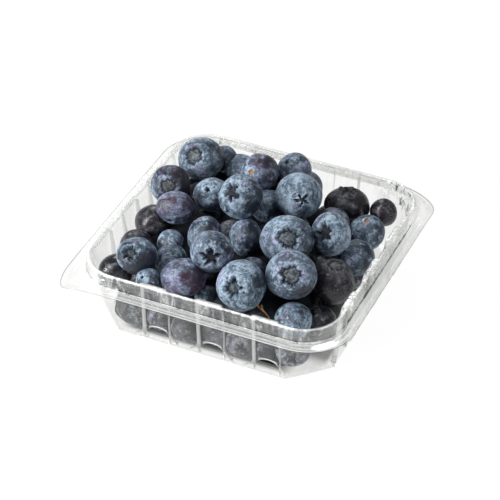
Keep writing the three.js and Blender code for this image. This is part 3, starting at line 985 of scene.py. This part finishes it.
def berry_mesh(berry, random, segments, rings):
    """One berry: a ball whose rings crowd towards its crown, squashed, uneven and oval."""
    bloom, plum = berry["look"][:2]
    axis, style = crown_axis(berry["look"], random)
    turn = (axis.to_track_quat("Z", "Y").to_matrix()
            @ Matrix.Rotation(random(0, math.tau), 3, "Z"))
    seed = Vector((random(-1, 1), random(-1, 1), random(-1, 1)))
    oblate, uneven = random(*OBLATE), random(*UNEVEN)
    side, over, _ = camera_axes()
    wide, tall = berry["oval"]
    # painted shade: bloom is taken away on the given side of each berry
    right, up, bare = berry["painted_shade"]
    painted_shade_side = seen_direction(right, up)
    bm = bmesh.new()
    layers = [bm.verts.layers.float.new(key)
              for key in ("bloom", "plum", "groove", "disc", "edge", "scar")]
    on_berry = bm.verts.layers.float_vector.new("on_berry")
    bmesh.ops.create_uvsphere(bm, u_segments=segments, v_segments=rings, radius=1)
    for vert in bm.verts:
        unit = vert.co.normalized()
        phi = math.atan2(unit.y, unit.x)
        theta = math.pi * (math.acos(clamp(unit.z, -1, 1)) / math.pi) ** CROWDING
        height, groove, disc, edge = crown_shape(theta, phi, style, seed.x * SEED_SPREAD)
        local = Vector((math.sin(theta) * math.cos(phi), math.sin(theta) * math.sin(phi),
                        math.cos(theta)))
        local *= 1 + height + LUMPS * noise.noise(local * 1.2 + seed * SEED_SPREAD)
        place = turn @ Vector((local.x * uneven, local.y / uneven, local.z * oblate))
        ragged = PAINTED_SHADE_RAGGED * noise.noise(place * 2 + seed * 7)
        inside = place.dot(painted_shade_side) + ragged - PAINTED_SHADE_FROM
        painted_shade = PAINTED_SHADE_MOST * bare * smooth(inside / PAINTED_SHADE_OVER)
        place += side * place.dot(side) * (wide - 1) + over * place.dot(over) * (tall - 1)
        vert.co = (berry["at"] + place * berry["radius"]) * MM
        scar = groove if style == "scar" else 0
        for layer, value in zip(layers, (bloom - painted_shade, plum, groove, disc, edge, scar)):
            vert[layer] = value
        vert[on_berry] = local * berry["radius"] * MM + seed * PATTERN_SPREAD
    mesh = bpy.data.meshes.new("berry")
    bm.to_mesh(mesh)
    bm.free()
    return mesh


def build_berries(name, berries, material, segments, rings, seed):
    """All berries of one kind in one mesh."""
    bm = bmesh.new()
    random = Random(seed)
    for berry in berries:
        mesh = berry_mesh(berry, random, segments, rings)
        bm.from_mesh(mesh)
        bpy.data.meshes.remove(mesh)
    return piece(name, bm, material)


def core_point(station, half, z, corner, middle):
    """A point of a ring of the core; its stations run along a side and round the next corner."""
    wall, step = divmod(station, CORE_SIDE_STEPS + CORE_CORNER_STEPS)
    straight = half - corner
    if step <= CORE_SIDE_STEPS:
        along, out = lerp(-straight, straight, step / CORE_SIDE_STEPS), half
    else:
        turn = (step - CORE_SIDE_STEPS) / CORE_CORNER_STEPS * math.pi / 2
        along, out = straight + corner * math.sin(turn), straight + corner * math.cos(turn)
    lump = CORE_LUMPS * noise.noise(Vector((station * 0.9, z * 0.5, 1)))
    return wall_point(wall, along, out + lump, z) + Vector((*middle, 0))


def build_core():
    """The heap's inside as a dark surface of painted shade, that shows only as depth between the
    berries.
    """
    bm = bmesh.new()
    station = bm.verts.layers.int.new("station")
    stations = 4 * (CORE_SIDE_STEPS + CORE_CORNER_STEPS)
    ring = bmesh.ops.create_circle(bm, cap_ends=True, radius=1, segments=stations)["verts"]
    for i, vert in enumerate(ring):
        vert[station] = i
    for i, (half, z, corner, *middle) in enumerate(CORE_RINGS):
        if i:
            edges = [edge for edge in bm.edges if edge.is_boundary]
            made = bmesh.ops.extrude_edge_only(bm, edges=edges)["geom"]
            ring = [element for element in made if isinstance(element, bmesh.types.BMVert)]
        for vert in ring:
            vert.co = core_point(vert[station], half, z, corner, middle) * MM
    bmesh.ops.contextual_create(bm, geom=[edge for edge in bm.edges if edge.is_boundary])
    bmesh.ops.recalc_face_normals(bm, faces=bm.faces)
    return piece("heap_core", bm, shade_material())


def build_debris():
    """Dry scraps of stalk between the berries: thin cones, bent and with knots."""
    bm = bmesh.new()
    for start, end, radius in STALK_SCRAPS:
        start, end = Vector(start), Vector(end)
        first = len(bm.verts)
        length = (end - start).length
        bmesh.ops.create_cone(bm, cap_ends=True, segments=STALK_SIDES, radius1=radius,
                              radius2=radius * STALK_TAPER, depth=length)
        bm.verts.index_update()
        sides = [edge for edge in bm.edges
                 if edge.verts[0].index >= first and edge.calc_length() > length * 0.8]
        bmesh.ops.subdivide_edges(bm, edges=sides, cuts=STALK_CUTS)
        turn = (end - start).to_track_quat("Z", "Y").to_matrix()
        bm.verts.ensure_lookup_table()
        for vert in bm.verts[first:]:
            knots = 1 + 0.5 * noise.noise(vert.co * 0.9 + start)
            bend = Vector((0.04 * vert.co.z ** 2, 0.12 * math.sin(vert.co.z * 1.7), 0))
            local = Vector((vert.co.x * knots, vert.co.y * knots, vert.co.z)) + bend
            vert.co = (turn @ local + (start + end) / 2) * MM
    return piece("stalk_scraps", bm, stalk_material())


def build_heap():
    """The pieces that stand in for the heap. The berries go to kinds by their bloom and plum."""
    heap = heap_berries()
    shown, lower = heap[:len(TOP_BERRIES)], heap[len(TOP_BERRIES):]
    dark, bloomed, plum = [], [], []
    for berry in shown:
        bloom, redness = berry["look"][:2]
        kind = dark if bloom < LEAST_BLOOM else plum if redness >= LEAST_PLUM else bloomed
        kind.append(berry)
    waxy, glossy, painted_shade_material = (berry_material(name, **skin) for name, skin in SKINS.items())
    return [
        build_core(),
        build_berries("bloomed_berries", bloomed, waxy, *SHOWN_MESH, seed=3),
        build_berries("plum_berries", plum, waxy, *SHOWN_MESH, seed=4),
        build_berries("dark_berries", dark, glossy, *SHOWN_MESH, seed=5),
        build_berries("lower_berries", lower, painted_shade_material, *LOWER_MESH, seed=6),
        build_debris(),
    ]


# ---- objects and studio -----------------------------------------------------------------------
# in metres
FLOOR_HALF = 3
FLOOR_DROP = 0.0002
LIGHT_AIM = Vector((0, 0, 0.02))
LIGHT_DISTANCE = 0.9

# name, direction from the punnet, width and length, power in watts
LIGHTS = [
    ("key", (-0.66, -0.62, 0.42), (0.24, 0.65), 9.4),
    ("overhead", (-0.32, -0.30, 0.90), (0.1, 0.7), 2.5),
    ("back", (-0.42, 0.70, 0.58), (0.32, 0.32), 1.8),
    ("window", (0.67, -0.33, 0.67), (0.09, 0.6), 1.5),
]
WORLD_LIGHT = 0.25


def piece(name, bm, material):
    """A smooth object with one material from a bmesh."""
    mesh = bpy.data.meshes.new(name)
    bm.normal_update()
    bm.to_mesh(mesh)
    bm.free()
    mesh.materials.append(material)
    mesh.shade_smooth()
    made = bpy.data.objects.new(name, mesh)
    bpy.context.collection.objects.link(made)
    return made


def area_light(name, direction, size, power):
    data = bpy.data.lights.new(name, "AREA")
    data.shape = "RECTANGLE"
    data.size, data.size_y = size
    data.energy = power
    light = bpy.data.objects.new(name, data)
    direction = Vector(direction).normalized()
    light.location = direction * LIGHT_DISTANCE + LIGHT_AIM
    light.rotation_euler = direction.to_track_quat("Z", "Y").to_euler()
    bpy.context.collection.objects.link(light)


def build_stage():
    """The floor, the even light all round and the lamps."""
    bm = bmesh.new()
    bmesh.ops.create_grid(bm, x_segments=1, y_segments=1, size=FLOOR_HALF)
    floor = piece("floor", bm, floor_material())
    floor.location.z = -FLOOR_DROP
    world = bpy.data.worlds.new("studio")
    bpy.context.scene.world = world
    world.use_nodes = True
    background = world.node_tree.nodes["Background"]
    background.inputs["Color"].default_value = (1, 1, 1, 1)
    background.inputs["Strength"].default_value = WORLD_LIGHT
    for light in LIGHTS:
        area_light(*light)


def build_camera():
    data = bpy.data.cameras.new("camera")
    data.lens = CAMERA_LENS
    data.clip_start, data.clip_end = CAMERA_REACH
    camera = bpy.data.objects.new("camera", data)
    camera.location = CAMERA_AT
    camera.rotation_euler = Matrix(camera_axes()).transposed().to_euler()
    bpy.context.collection.objects.link(camera)
    bpy.context.scene.camera = camera


build_camera()
build_stage()
tray = build_tray()
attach(tray, "root")
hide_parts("tray")
for part in build_heap():
    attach(part, "root")
    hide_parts("blueberries")

scene = bpy.context.scene
scene.view_settings.view_transform = "Standard"
scene.view_settings.look = "None"
scene.cycles.transparent_max_bounces = 32
